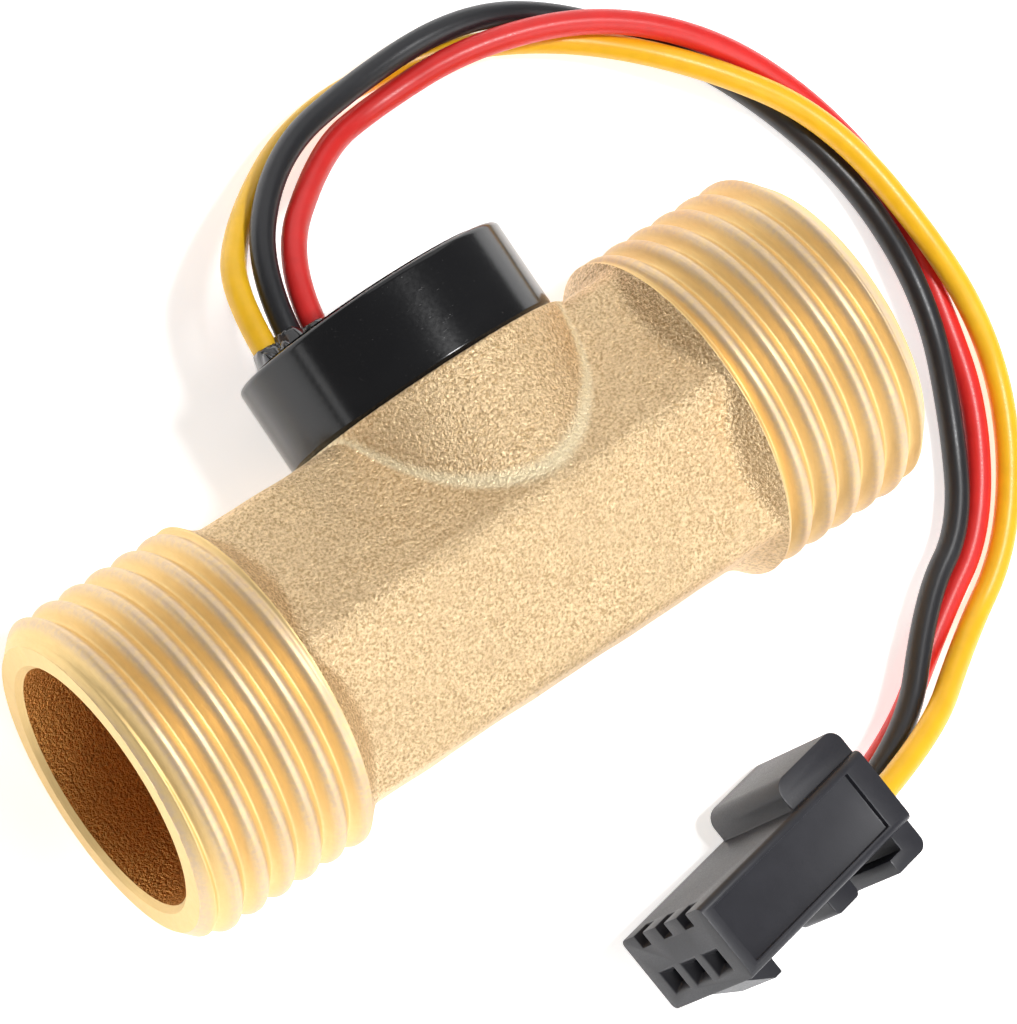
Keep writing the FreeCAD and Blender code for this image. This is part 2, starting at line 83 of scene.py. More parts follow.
# Corners of each wire's route, from the circuit board to the plug, in metres
ROUTES = {
    "wire_yellow": (
        (-.0037, .0095, .009166), (-.0037, .016361, .00843), (.0002, .0203, .0047), (.0086, .0241, .0008),
        (.0177, .0235, .0008), (.0258, .02, .0012), (.0322, .014, .0029), (.0379, .0069, .0023),
        (.0393, -.0038, .0028), (.0397, -.0103, .0008), (.0373, -.016, .0008), (.0332, -.0211, .0008),
        (.0282, -.0239, .0008), (.019707, -.027798, .005884), (.00943, -.02917, .008088)),
    "wire_black": (
        (-.0021, .0095, .009166), (-.0021, .016361, .00843), (.0045, .0227, .0046), (.0129, .024, .0025),
        (.0199, .0241, .0024), (.0259, .0219, .0008), (.0317, .0162, .0008), (.0354, .01, .0008),
        (.0378, .0026, .0008), (.037, -.0054, .0023), (.0348, -.0125, .001), (.0313, -.0182, .0016),
        (.0268, -.0205, .0018), (.019192, -.027867, .003439), (.008915, -.029238, .005643)),
    "wire_red": (
        (-.0005, .0095, .009166), (-.0005, .016361, .00843), (.008, .0215, .0027), (.013, .0222, .0014),
        (.0197, .0223, .0029), (.0275, .02, .0031), (.0336, .0152, .0027), (.038, .0087, .0008),
        (.0396, .0012, .0008), (.0383, -.0062, .0008), (.0368, -.0127, .0008), (.0326, -.0192, .0008),
        (.0274, -.0221, .0008), (.018677, -.027936, .000994), (.008399, -.029307, .003198)),
}


# Settings that a user would change

def size(label, about, value):
    return bpy.props.FloatProperty(name=label, description=about, default=value)


def share(label, about, value):
    return bpy.props.FloatProperty(name=label, description=about, default=value, min=0, max=1, subtype="FACTOR")


def colour(label, about, value):
    return bpy.props.FloatVectorProperty(name=label, description=about, default=value, size=3, min=0, max=1,
                                         subtype="COLOR")


class BrassSettings(bpy.types.PropertyGroup):
    pitch: size("Thread pitch", "Distance between thread crests, in millimetres", 1.814)
    depth: size("Thread depth", "From crest to root, in millimetres", 0.8)
    crest: size("Crest land", "Width of the worn flat on each crest, in millimetres", 0.56)
    inlet_crest: size("Inlet crest", "Where one crest passes the top of the inlet thread, in millimetres", 2.94)
    outlet_crest: size("Outlet crest", "Where one crest passes the top of the outlet thread, in millimetres", 42.14)
    boss_blend: size("Boss blend", "How far the case's seat blends into the flats, in millimetres", 0.3)
    boss_draft: size("Boss draft", "How far the foot of the seat stands out past its top, in millimetres", 0.4)
    grain: size("Cast grain", "Size of the grain of the cast skin, in millimetres", 0.26)
    cast_colour: colour("Cast brass", "Colour of the cast skin", (0.83, 0.61, 0.36))
    machined_colour: colour("Machined brass", "Colour of the cut thread", (0.93, 0.67, 0.3))
    bore_colour: colour("Bore", "Colour of the bored waterway", (0.95, 0.47, 0.13))
    crest_colour: colour("Worn crest", "Colour of the rubbed thread crests", (0.77, 0.58, 0.4))


class CaseSettings(bpy.types.PropertyGroup):
    case_colour: colour("Case plastic", "Colour of the sensor case", (0.006, 0.006, 0.007))
    gloss: share("Case roughness", "Roughness of the sensor case", 0.16)
    resin_colour: colour("Resin", "Colour of the resin in the case", (0.02, 0.02, 0.023))
    mound: size("Sealant height", "Height of the sealant round the wires, in millimetres", 1.45)


class WireSettings(bpy.types.PropertyGroup):
    yellow: colour("Yellow wire", "Colour of the signal wire", (0.98, 0.55, 0.015))
    black: colour("Black wire", "Colour of the ground wire", (0.016, 0.016, 0.019))
    red: colour("Red wire", "Colour of the supply wire", (0.8, 0.025, 0.022))
    roughness: share("Wire roughness", "Roughness of the insulation", 0.36)


class PlugSettings(bpy.types.PropertyGroup):
    plug_colour: colour("Plug plastic", "Colour of the plug", (0.02, 0.02, 0.026))
    edge: size("Edge round", "Rounding of the moulded edges, in millimetres", 0.1)


class StageSettings(bpy.types.PropertyGroup):
    floor_colour: colour("Floor", "Colour of the floor", (0.93, 0.93, 0.93))
    glow: share("Floor glow", "Light that the floor gives off by itself", 0.62)
    surround: share("Surround", "Brightness of the dim surround", 0.2)
    key: size("Near panel", "Power of the large panel on the near side, in watts", 4.0)
    far: size("Far panel", "Power of the large panel on the far side, in watts", 1.3)
    strip: size("Overhead strip", "Power of the narrow strip overhead, in watts", 2.2)
    edge: size("Low strip", "Power of the low strip beside the inlet, in watts", 0.11)


SETTINGS = (BrassSettings, CaseSettings, WireSettings, PlugSettings, StageSettings)


# Building blocks for shapes

def soft_max(a, b, blend):
    """The larger of two heights, with a smooth blend where they are nearly the same."""
    near = np.maximum(blend - np.abs(a - b), 0) / blend
    return np.maximum(a, b) + near * near * blend / 4


def soft_min(a, b, blend):
    return -soft_max(-a, -b, blend)


def smooth_step(value, start, end):
    t = np.clip((value - start) / (end - start), 0, 1)
    return t * t * (3 - 2 * t)


def grid_faces(rows, columns, closed):
    """Quads between the rows of a grid of points, whose columns may close on themselves."""
    last = columns if closed else columns - 1
    faces = []
    for row in range(rows - 1):
        for column in range(last):
            ahead = (column + 1) % columns
            faces.append((row * columns + column, row * columns + ahead,
                          (row + 1) * columns + ahead, (row + 1) * columns + column))
    return faces


def without_doubles(points, faces):
    """Merges points that fall together, and drops the faces that this leaves without an area."""
    _, first, index = np.unique(np.round(points, 5), axis=0, return_index=True, return_inverse=True)
    index = index.ravel()
    kept = []
    for face in faces:
        loop = []
        for corner in face:
            number = int(index[corner])
            if number not in loop:
                loop.append(number)
        if len(loop) > 2:
            kept.append(tuple(loop))
    return points[first], kept


def ring_normals(points, radius_at):
    """Normals of a surface given by its distance from the pipe's axis at each place and angle."""
    x = points[:, 0]
    angle = np.arctan2(points[:, 1], points[:, 2])
    radius = np.hypot(points[:, 1], points[:, 2])
    along = (radius_at(x + 0.01, angle) - radius_at(x - 0.01, angle)) / 0.02
    around = (radius_at(x, angle + 0.001) - radius_at(x, angle - 0.001)) / 0.002 / radius
    outward = np.column_stack([np.zeros_like(x), np.sin(angle), np.cos(angle)])
    sideways = np.column_stack([np.zeros_like(x), np.cos(angle), -np.sin(angle)])
    normals = outward - along[:, None] * (1, 0, 0) - around[:, None] * sideways
    return normals / np.linalg.norm(normals, axis=1)[:, None]


def lathe_patch(profile, columns, axis="X", centre=(0, 0, 0), inward=False):
    """Turned surface from (place along the axis, radius) points, with a crisp edge at each point."""
    angles = np.arange(columns) * TURN / columns
    points, normals, faces = [], [], []
    for (a, ra), (b, rb) in zip(profile, profile[1:]):
        start = len(points)
        slope = math.hypot(b - a, rb - ra)
        nx, nr = -(rb - ra) / slope, (b - a) / slope
        if inward:
            nx, nr = -nx, -nr
        for place, radius in ((a, ra), (b, rb)):
            for angle in angles:
                s, c = math.sin(angle), math.cos(angle)
                if axis == "X":
                    points.append((place, radius * s, radius * c))
                    normals.append((nx, nr * s, nr * c))
                else:
                    points.append((radius * c, radius * s, place))
                    normals.append((nr * c, nr * s, nx))
        faces += [tuple(start + corner for corner in face) for face in grid_faces(2, columns, True)]
    return np.array(points) + np.array(centre), faces, np.array(normals)


def joined(patches):
    """One set of points, faces and normals from several patches."""
    points, faces, normals, start = [], [], [], 0
    for patch_points, patch_faces, patch_normals in patches:
        points.append(patch_points)
        normals.append(patch_normals)
        faces += [tuple(start + corner for corner in face) for face in patch_faces]
        start += len(patch_points)
    return np.vstack(points), faces, np.vstack(normals)


def facing(points, faces, normals):
    """Turns each face so that it faces the way its points' normals do."""
    turned = []
    for face in faces:
        a, b, c = (points[corner] for corner in face[:3])
        across = np.cross(b - a, c - b)
        if across @ normals[list(face)].sum(axis=0) < 0:
            face = face[::-1]
        turned.append(face)
    return turned


def add_object(name, points, faces, normals=None, place=METER):
    """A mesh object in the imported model's frame, with smooth shading and its own normals if given."""
    moved = np.array(points) @ np.array(place)[:3, :3].T + np.array(place)[:3, 3]
    if normals is not None:
        faces = facing(np.array(points), faces, np.array(normals))
    mesh = bpy.data.meshes.new(name)
    mesh.from_pydata(moved.tolist(), [], faces)
    mesh.validate()
    mesh.polygons.foreach_set("use_smooth", [True] * len(mesh.polygons))
    if normals is not None:
        axes = np.array(place.to_3x3().normalized())
        mesh.normals_split_custom_set_from_vertices((np.array(normals) @ axes.T).tolist())
    mesh.update()
    thing = bpy.data.objects.new(name, mesh)
    bpy.context.scene.collection.objects.link(thing)
    return thing


def store(thing, name, values):
    """A value for each point, which a finish can read."""
    attribute = thing.data.attributes.new(name, "FLOAT", "POINT")
    attribute.data.foreach_set("value", np.asarray(values, dtype=np.float32))


def finish(thing, material):
    thing.data.materials.clear()
    thing.data.materials.append(material)


def dress(node, material):
    """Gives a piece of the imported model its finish."""
    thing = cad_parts[node]
    thing.data.materials.clear()
    thing.data.materials.append(material)


# Building blocks for finishes

def new_finish(name):
    """A finish with the coordinates of the object and its shader, ready to be given detail."""
    material = bpy.data.materials.get(name) or bpy.data.materials.new(name)
    material.use_nodes = True
    tree = material.node_tree
    tree.nodes.clear()
    output = tree.nodes.new("ShaderNodeOutputMaterial")
    shader = tree.nodes.new("ShaderNodeBsdfPrincipled")
    where = tree.nodes.new("ShaderNodeTexCoord")
    tree.links.new(shader.outputs["BSDF"], output.inputs["Surface"])
    output.location, shader.location, where.location = (600, 0), (300, 0), (-900, 0)
    return material, tree, shader, where.outputs["Object"]


def noise(tree, where, grain, detail=2.0, roughness=0.5, stretch=None):
    """Noise whose grain is given in millimetres."""
    if stretch:
        scale = tree.nodes.new("ShaderNodeMapping")
        scale.inputs["Scale"].default_value = stretch
        tree.links.new(where, scale.inputs["Vector"])
        where = scale.outputs["Vector"]
    node = tree.nodes.new("ShaderNodeTexNoise")
    node.inputs["Scale"].default_value = 1 / (grain * MM)
    node.inputs["Detail"].default_value = detail
    node.inputs["Roughness"].default_value = roughness
    tree.links.new(where, node.inputs["Vector"])
    return node.outputs["Fac"]


def ramp(tree, value, stops):
    node = tree.nodes.new("ShaderNodeValToRGB")
    elements = node.color_ramp.elements
    for spare in range(len(stops) - 2):
        elements.new(0.5)
    for element, (position, tone) in zip(elements, stops):
        element.position = position
        element.color = (*tone, 1) if hasattr(tone, "__len__") else (tone, tone, tone, 1)
    tree.links.new(value, node.inputs["Fac"])
    return node.outputs["Color"]


def stretch_range(tree, value, low, high, to_low, to_high):
    node = tree.nodes.new("ShaderNodeMapRange")
    node.inputs["From Min"].default_value = low
    node.inputs["From Max"].default_value = high
    node.inputs["To Min"].default_value = to_low
    node.inputs["To Max"].default_value = to_high
    tree.links.new(value, node.inputs["Value"])
    return node.outputs["Result"]


def mix(tree, share_of_b, a, b, blend="MIX"):
    node = tree.nodes.new("ShaderNodeMix")
    node.data_type = "RGBA"
    node.blend_type = blend
    for socket, value in ((node.inputs["Factor"], share_of_b), (node.inputs["A"], a), (node.inputs["B"], b)):
        if isinstance(value, bpy.types.NodeSocket):
            tree.links.new(value, socket)
        elif hasattr(value, "__len__"):
            socket.default_value = (*value, 1)
        else:
            socket.default_value = value
    return node.outputs["Result"]


def maths(tree, operation, a, b):
    node = tree.nodes.new("ShaderNodeMath")
    node.operation = operation
    for socket, value in zip(node.inputs, (a, b)):
        if isinstance(value, bpy.types.NodeSocket):
            tree.links.new(value, socket)
        else:
            socket.default_value = value
    return node.outputs["Value"]


def bump(tree, shader, height, depth, strength=1.0, below=None):
    """Raises the surface by a height, at most the given depth in millimetres."""
    node = tree.nodes.new("ShaderNodeBump")
    node.inputs["Strength"].default_value = strength
    node.inputs["Distance"].default_value = depth * MM
    tree.links.new(height, node.inputs["Height"])
    if below is not None:
        tree.links.new(below, node.inputs["Normal"])
    tree.links.new(node.outputs["Normal"], shader.inputs["Normal"])
    return node.outputs["Normal"]


def stored(tree, name):
    node = tree.nodes.new("ShaderNodeAttribute")
    node.attribute_name = name
    return node.outputs["Fac"]


def cast_brass_finish():
    """Sand-cast skin of fine bright grain, with a painted highlight along the fillet at the foot of the case's seat."""
    look = bpy.context.scene.flow_meter_brass
    material, tree, shader, where = new_finish("cast_brass")
    grain = noise(tree, where, look.grain, detail=3, roughness=0.65)
    fine = noise(tree, where, look.grain * 0.7, detail=2, roughness=0.6)
    patches = noise(tree, where, 3.5, detail=2)
    pale = tuple(min(1, c * 1.22 + 0.03) for c in look.cast_colour)
    dull = (look.cast_colour[0] * 0.7, look.cast_colour[1] * 0.63, look.cast_colour[2] * 0.52)
    speckle = ramp(tree, fine, ((0.36, dull), (0.5, tuple(look.cast_colour)), (0.64, pale)))
    toned = mix(tree, stretch_range(tree, patches, 0.35, 0.7, 0, 0.35), speckle, tuple(c * 0.86 for c in look.cast_colour))
    # Painted highlight: the fillet where the case's seat meets the flats is lightened, standing in for the bright line
    # the lights draw along it.
    fillet_highlight = mix(tree, maths(tree, "MULTIPLY", stored(tree, "crease"), 0.75), toned, tuple(min(1, c * 1.1 + 0.2) for c in look.cast_colour))
    dark = mix(tree, speckle, tuple(look.bore_colour), tuple(c * 0.8 for c in look.bore_colour))
    tree.links.new(mix(tree, stored(tree, "bore"), fillet_highlight, dark), shader.inputs["Base Color"])
    shader.inputs["Metallic"].default_value = 1
    tree.links.new(stretch_range(tree, grain, 0.3, 0.7, 0.36, 0.56), shader.inputs["Roughness"])
    coarse = bump(tree, shader, grain, 0.16, 1.0)
    bump(tree, shader, fine, 0.12, 1.0, below=coarse)
    return material


def machined_brass_finish():
    """Cut thread with rubbed crests and fine rings left by the tool."""
    look = bpy.context.scene.flow_meter_brass
    material, tree, shader, where = new_finish("machined_brass")
    rings = noise(tree, where, 0.5, detail=3, roughness=0.7, stretch=(3.6, 0.35, 0.35))
    mottle = noise(tree, where, 0.35, detail=3, roughness=0.6)
    crest = stored(tree, "crest")
    worn = maths(tree, "MULTIPLY", crest, stretch_range(tree, mottle, 0.3, 0.6, 0.35, 1))
    base = mix(tree, worn, tuple(look.machined_colour), tuple(look.crest_colour))
    shade = mix(tree, stretch_range(tree, rings, 0.35, 0.7, 0, 0.3), base, tuple(c * 0.8 for c in look.machined_colour))
    tree.links.new(shade, shader.inputs["Base Color"])
    shader.inputs["Metallic"].default_value = 0.72
    tree.links.new(stretch_range(tree, mottle, 0.3, 0.7, 0.46, 0.56), shader.inputs["Roughness"])
    rough = bump(tree, shader, mottle, 0.006, 0.5)
    bump(tree, shader, rings, 0.02, 0.6, below=rough)
    return material


def plastic_finish(name, tint, roughness, grain, depth, scratches=0.0, coat=0.0):
    """Moulded plastic with a fine texture, and hairline scratches where it has been rubbed."""
    material, tree, shader, where = new_finish(name)
    texture = noise(tree, where, grain, detail=3, roughness=0.6)
    cloud = noise(tree, where, grain * 18, detail=2)
    light = tuple(min(1, c * 1.25 + 0.004) for c in tint)
    skin = mix(tree, stretch_range(tree, cloud, 0.35, 0.7, 0, 0.6), tuple(tint), light)
    matt = stretch_range(tree, texture, 0.3, 0.7, roughness * 0.85, roughness * 1.15)
    if scratches:
        fine = noise(tree, where, 0.16, detail=4, roughness=0.75, stretch=(0.12, 1, 2.2))
        lines = stretch_range(tree, fine, 0.66, 0.72, 0, scratches)
        matt = maths(tree, "ADD", matt, lines)
        skin = mix(tree, lines, skin, (0.22, 0.21, 0.2))
    tree.links.new(skin, shader.inputs["Base Color"])
    tree.links.new(matt, shader.inputs["Roughness"])
    shader.inputs["Coat Weight"].default_value = coat
    shader.inputs["Coat Roughness"].default_value = 0.08
    bump(tree, shader, texture, depth, 0.5)
    return material


def wire_finish(name, tint, roughness):
    """Extruded insulation: faint lengthwise unevenness under a satin skin."""
    material, tree, shader, where = new_finish(name)
    uneven = noise(tree, where, 1.1, detail=2)
    skin = noise(tree, where, 0.12, detail=2)
    deep = tuple(c * 0.86 for c in tint)
    tree.links.new(mix(tree, stretch_range(tree, uneven, 0.35, 0.65, 0, 0.5), tuple(tint), deep), shader.inputs["Base Color"])
    tree.links.new(stretch_range(tree, skin, 0.3, 0.7, roughness * 0.85, roughness * 1.2), shader.inputs["Roughness"])
    shader.inputs["Subsurface Weight"].default_value = 0.08
    shader.inputs["Subsurface Radius"].default_value = (0.0006, 0.0004, 0.0003)
    shader.inputs["Subsurface Scale"].default_value = 1
    shader.inputs["Specular IOR Level"].default_value = 0.55
    bump(tree, shader, skin, 0.004, 0.4)
    return material


def metal_finish(name, tint, roughness, grain=0.1):
    material, tree, shader, where = new_finish(name)
    texture = noise(tree, where, grain, detail=3, roughness=0.6)
    tree.links.new(mix(tree, stretch_range(tree, texture, 0.3, 0.7, 0, 0.4), tuple(tint), tuple(c * 0.75 for c in tint)),
                   shader.inputs["Base Color"])
    shader.inputs["Metallic"].default_value = 1
    tree.links.new(stretch_range(tree, texture, 0.3, 0.7, roughness * 0.8, roughness * 1.25), shader.inputs["Roughness"])
    bump(tree, shader, texture, 0.003, 0.4)
    return material


def resin_finish(name, tint, clear):
    """Poured resin: glossy, uneven, and smoky in random swirls."""
    material, tree, shader, where = new_finish(name)
    swirl = noise(tree, where, 1.3, detail=3)
    smoke = tuple(min(1, c * 3 + 0.05) for c in tint)
    amber = (0.16, 0.075, 0.02)
    hazy = mix(tree, stretch_range(tree, swirl, 0.42, 0.68, 0, clear), tuple(tint), smoke)
    drop = noise(tree, where, 0.8, detail=2)
    tree.links.new(mix(tree, stretch_range(tree, drop, 0.58, 0.7, 0, clear * 0.7), hazy, amber), shader.inputs["Base Color"])
    tree.links.new(stretch_range(tree, swirl, 0.3, 0.7, 0.08, 0.2), shader.inputs["Roughness"])
    shader.inputs["Transmission Weight"].default_value = clear * 0.25
    shader.inputs["Coat Weight"].default_value = 0.6
    shader.inputs["Coat Roughness"].default_value = 0.05
    bump(tree, shader, swirl, 0.06, 0.5)
    return material


# Brass body

def crest_offset(x, angle, start, pitch):
    """Distance along the pipe from the nearest thread crest, as a share of the pitch."""
    turn = math.radians(-3) - angle
    share_of_pitch = (x - start - pitch * turn / TURN) / pitch
    return share_of_pitch - np.round(share_of_pitch)


def thread_surface(look, start, end_face, shoulder):
    """Distance from the pipe's axis on one thread, as a function of place and angle."""
    def radius_at(x, angle):
        away = np.abs(crest_offset(x, angle, start, look.pitch)) * look.pitch
        cut = soft_min(soft_max((away - look.crest / 2) * 1.6, 0 * away, 0.36), look.depth + 0 * away, 0.6)
        from_face = np.abs(x - end_face)
        to_shoulder = np.abs(x - shoulder)
        cut = cut * smooth_step(to_shoulder, 0.05, 0.55)
        chamfer = THREAD_RADIUS - 1.15 + from_face
        return soft_min(THREAD_RADIUS - cut, chamfer, 0.18)
    return radius_at


def thread_patch(look, start, end_face, shoulder):
    """Grid whose rows follow the thread's helix, trimmed at the end face and at the shoulder."""
    rows_per_turn, columns = 20, 288
    low, high = min(end_face, shoulder), max(end_face, shoulder)
    first = math.floor((low - start) / look.pitch - 1.2) * rows_per_turn
    last = math.ceil((high - start) / look.pitch + 1.2) * rows_per_turn
    rows = last - first + 1
    steps = np.arange(first, last + 1)[:, None] / rows_per_turn
    angle = -np.arange(columns)[None, :] * TURN / columns
    x = start + look.pitch * (steps + (math.radians(-3) - angle) / TURN)
    x = np.clip(x, low, high)
    angle = np.broadcast_to(angle, x.shape)
    radius_at = thread_surface(look, start, end_face, shoulder)
    radius = radius_at(x, angle)
    points = np.stack([x, radius * np.sin(angle), radius * np.cos(angle)], axis=2).reshape(-1, 3)
    faces = []
    for row in range(rows - 1):
        for column in range(columns):
            ahead, jump = (column + 1, 0) if column + 1 < columns else (0, rows_per_turn)
            if row + 1 + jump >= rows:
                continue
            corners = (row * columns + column, (row + 1) * columns + column,
                       (row + 1 + jump) * columns + ahead, (row + jump) * columns + ahead)
            place = [points[corner][0] for corner in corners]
            if max(place) - low > 1e-6 and high - min(place) > 1e-6:
                faces.append(corners)
    points, faces = without_doubles(points, faces)
    used = np.unique([corner for face in faces for corner in face])
    number = {int(old): new for new, old in enumerate(used)}
    faces = [tuple(number[corner] for corner in face) for face in faces]
    points = points[used]
    return points, faces, ring_normals(points, radius_at)


def hexagon_radius(angle):
    """Six-sided section with rounded corners, a flat under the sensor case."""
    flat, rounding = 9.0, 1.5
    off_flat = (angle + math.pi / 6) % (math.pi / 3) - math.pi / 6
    side = flat / np.cos(off_flat)
    off_corner = math.pi / 6 - np.abs(off_flat)
    reach = (flat - rounding) / math.cos(math.pi / 6)
    corner = reach * np.cos(off_corner) + np.sqrt(np.maximum(rounding ** 2 - (reach * np.sin(off_corner)) ** 2, 0))
    return np.where(off_corner < math.radians(4.307), np.minimum(side, corner), side)


def waves(x, angle):
    """Slight unevenness of the casting."""
    return 0.035 * (np.sin(x * 0.55 + 2.1 * np.sin(angle * 2)) * np.cos(angle * 3 + x * 0.21)
                    + 0.6 * np.sin(x * 1.3 + 4 * np.cos(angle)) * np.sin(angle * 5 + 0.4 * x))


def body_and_seat(look):
    """Distances from the pipe's axis to the six-sided body and to the case's seat on it."""
    def radii(x, angle):
        inner, outer = THREAD_LENGTH, LENGTH - THREAD_LENGTH
        shoulder = THREAD_RADIUS - np.minimum(x - inner, outer - x)
        middle = smooth_step(x, inner + 0.8, inner + 3) * smooth_step(outer - x, 0.8, 3)
        body = soft_max(hexagon_radius(angle) + waves(x, angle) * middle, shoulder, 0.45)
        up = np.cos(angle)
        foot = CASE_RADIUS + 0.35 + look.boss_draft * smooth_step(np.abs(np.sin(angle)), 0.3, 0.95)
        half = np.sqrt(np.maximum(foot ** 2 - (x - CASE_X) ** 2, 0))
        wall = half / np.maximum(np.abs(np.sin(angle)), 1e-4)
        top = np.where(up > 0.05, SEAT / np.maximum(up, 0.05), 0)
        return body, np.where(up > 0, soft_min(top, wall, 0.25), 0)
    return radii


def casting_surface(look):
    radii = body_and_seat(look)

    def radius_at(x, angle):
        body, boss = radii(x, angle)
        blend = 0.12 + look.boss_blend * smooth_step(np.abs(np.sin(angle)), 0.42, 0.62)
        return soft_max(body, boss, blend)
    return radius_at


def casting_patch(look):
    rows, columns = 150, 420
    x = np.linspace(THREAD_LENGTH, LENGTH - THREAD_LENGTH, rows)[:, None]
    angle = np.arange(columns)[None, :] * TURN / columns
    x, angle = np.broadcast_arrays(x, angle)
    radius_at = casting_surface(look)
    radius = radius_at(x, angle)
    points = np.stack([x, radius * np.sin(angle), radius * np.cos(angle)], axis=2).reshape(-1, 3)
    return points, grid_faces(rows, columns, True), ring_normals(points, radius_at)


def bore_profile():
    """Along the waterway, from the inlet's mouth to the outlet's: the step and the ring's groove."""
    return [(0.35, BORE_RADIUS), (13.6, BORE_RADIUS), (13.6, 8.25), (14.7, 8.25), (14.7, BORE_RADIUS),
            (38.2, BORE_RADIUS), (38.2, 6.7), (40.2, 6.7), (40.2, BORE_RADIUS), (LENGTH - 0.35, BORE_RADIUS)]


class METER_OT_brass_body(bpy.types.Operator):
    """Cut both pipe threads and give the casting its skin"""
    bl_idname = "flow_meter.brass_body"
    bl_label = "Brass body"

    def execute(self, context):
        look = context.scene.flow_meter_brass
        cast, machined = cast_brass_finish(), machined_brass_finish()
        outside, inside = casting_patch(look), lathe_patch(bore_profile(), 200, inward=True)
        casting = add_object("body_casting", *joined([outside, inside]))
        body, boss = body_and_seat(look)(outside[0][:, 0], np.arctan2(outside[0][:, 1], outside[0][:, 2]))
        # Mask of the fillet at the seat's foot, which carries the painted highlight.
        crease = 1 - smooth_step(np.abs(body - boss), 0.05, 0.5)
        store(casting, "crease", list(crease) + [0] * len(inside[0]))
        store(casting, "bore", [0] * len(outside[0]) + [1] * len(inside[0]))
        finish(casting, cast)
        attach(casting, "meter")
        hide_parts("brass_body")
        ends = (("inlet_thread_form", look.inlet_crest, 0.0, THREAD_LENGTH),
                ("outlet_thread_form", look.outlet_crest, LENGTH, LENGTH - THREAD_LENGTH))
        for name, crest, face, shoulder in ends:
            thread = thread_patch(look, crest, face, shoulder)
            mouth = [(abs(face - 0.35), BORE_RADIUS), (face, BORE_RADIUS + 0.35), (face, THREAD_RADIUS - 1.15)]
            ring = lathe_patch(mouth, 200, inward=face > 0)
            points, faces, normals = joined([thread, ring])
            piece = add_object(name, points, faces, normals)
            angle = np.arctan2(points[:, 1], points[:, 2])
            near = np.abs(crest_offset(points[:, 0], angle, crest, look.pitch)) * look.pitch
            worn = 1 - smooth_step(near, look.crest * 0.4, look.crest * 1.1)
            worn[len(thread[0]):] = 0
            store(piece, "crest", worn)
            finish(piece, machined)
            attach(piece, "meter")
        return {"FINISHED"}


# Sensor case, resin and sealant

def case_profile():
    return [(SEAT, 8.7), (SEAT + 0.08, 8.8), (SEAT + 0.2, 8.9), (SEAT + 0.34, CASE_RADIUS), (14.74, CASE_RADIUS),
            (14.92, 8.91), (15.04, 8.8), (CASE_TOP, 8.66), (CASE_TOP, 7.97), (15.06, 7.88), (14.9, 7.85), (14.0, 7.85)]


def rounded_lathe(profile, columns, centre):
    """Turned piece with smooth shading along its outline."""
    angles = np.arange(columns) * TURN / columns
    places = np.array(profile)
    tangents = np.gradient(places, axis=0)
    normal = np.column_stack([-tangents[:, 1], tangents[:, 0]])
    normal /= np.linalg.norm(normal, axis=1)[:, None]
    points = np.stack([places[:, 1][:, None] * np.cos(angles), places[:, 1][:, None] * np.sin(angles),
                       places[:, 0][:, None] + 0 * angles], axis=2).reshape(-1, 3)
    normals = np.stack([normal[:, 1][:, None] * np.cos(angles), normal[:, 1][:, None] * np.sin(angles),
                        normal[:, 0][:, None] + 0 * angles], axis=2).reshape(-1, 3)
    return points + np.array(centre), grid_faces(len(profile), columns, True), normals


def resin_height(x, y, mound):
    """Height of the resin over the case's floor plane: level, drawn up at the wall and round the wires."""
    from_wall = CASE_RADIUS - 1.1 - np.hypot(x - CASE_X, y)
    level = RESIN_TOP - 0.1 + 0.32 * np.exp(-np.maximum(from_wall, 0) / 0.35)
    mound = mound * smooth_step(from_wall, 0.02, 0.5)
    height = level
    lean = {WIRE_ROW[0]: 0.95, WIRE_ROW[1]: 1.15, WIRE_ROW[2]: 0.85}
    for place, share_of_mound in lean.items():
        away = np.maximum(np.hypot(x - place, y) - WIRE_DIAMETER / 2, 0)
        rise = mound * share_of_mound * np.exp(-(away / 0.55) ** 1.3)
        height = soft_max(height, level + rise, 0.25)
    for fx, fy, wide, tall in ((22.1, -1.1, 0.55, 0.75), (27.35, -0.35, 0.5, 0.7), (23.4, -1.3, 0.6, 0.8),
                               (25.1, 1.25, 0.7, 0.6), (21.9, 1.2, 0.6, 0.5)):
        away = np.hypot(x - fx, y - fy)
        height = soft_max(height, level + mound * tall * np.exp(-(away / wide) ** 2), 0.3)
    return height


def resin_patch(mound):
    rows, columns = 90, 220
    radius = np.linspace(0.02, CASE_RADIUS - 1.1, rows)[:, None]
    angle = np.arange(columns)[None, :] * TURN / columns
    x = CASE_X + radius * np.cos(angle)
    y = radius * np.sin(angle)
    height = resin_height(x, y, mound)
    points = np.stack([x, y, height], axis=2).reshape(-1, 3)
    step = 0.02
    slope_x = (resin_height(x + step, y, mound) - resin_height(x - step, y, mound)) / (2 * step)
    slope_y = (resin_height(x, y + step, mound) - resin_height(x, y - step, mound)) / (2 * step)
    normals = np.stack([-slope_x, -slope_y, np.ones_like(x)], axis=2).reshape(-1, 3)
    normals /= np.linalg.norm(normals, axis=1)[:, None]
    return points, grid_faces(rows, columns, True), normals


class METER_OT_sensor_case(bpy.types.Operator):
    """Turn the glossy sensor case and pour its resin and sealant"""
    bl_idname = "flow_meter.sensor_case"
    bl_label = "Sensor case"

    def execute(self, context):
        look = context.scene.flow_meter_case
        cup = add_object("case_cup", *rounded_lathe(case_profile(), 256, (CASE_X, 0, 0)))
        finish(cup, plastic_finish("case_plastic", look.case_colour, look.gloss, 0.25, 0.004, scratches=0.3))
        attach(cup, "meter")
        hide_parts("sensor_case")
        fill = add_object("resin_fill", *resin_patch(look.mound))
        finish(fill, resin_finish("potting_resin", look.resin_colour, 0.7))
        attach(fill, "meter")
        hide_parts("potting", "cable_seal")
        return {"FINISHED"}


# Waterway and circuit board

